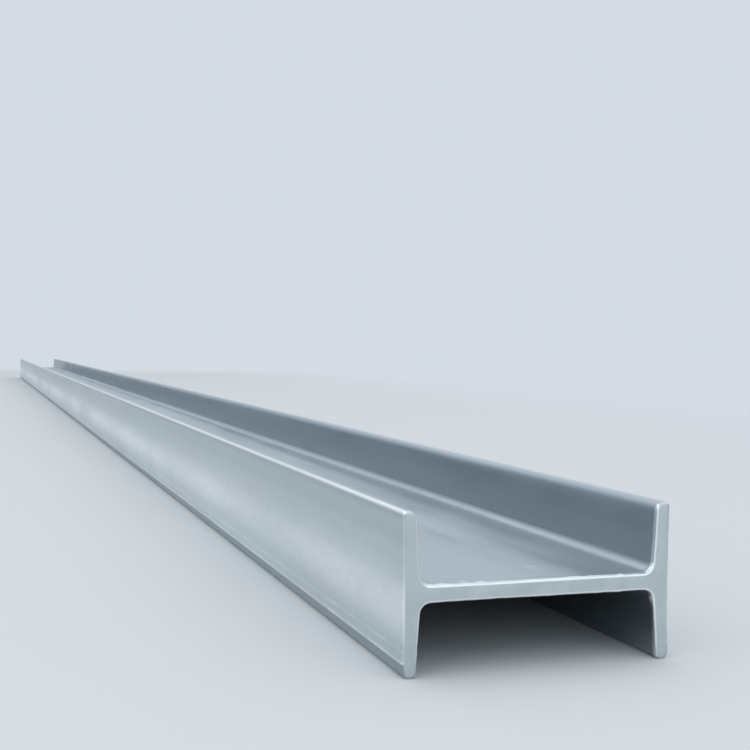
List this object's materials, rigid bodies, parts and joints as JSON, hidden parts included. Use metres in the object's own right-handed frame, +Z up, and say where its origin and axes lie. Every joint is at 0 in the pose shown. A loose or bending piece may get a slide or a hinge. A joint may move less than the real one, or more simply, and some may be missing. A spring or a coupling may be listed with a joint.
{
  "type": "steel i-beam",
  "caption": "Length of galvanised hot-rolled steel I-beam: a level web between two upright flanges that taper towards rounded toes, with square-cut ends.",
  "frame": {"origin": "on the floor, under the middle of the beam", "axes": "+X along the beam towards the pictured end, +Y across its depth away from the pictured flange, +Z up"},
  "size_m": [6, 0.18, 0.1],
  "materials": {
    "galvanised_steel": "satin hot-dip zinc, light blue-grey"
  },
  "bodies": {
    "root": {"i_beam": "galvanised_steel"}
  },
  "joints": []
}
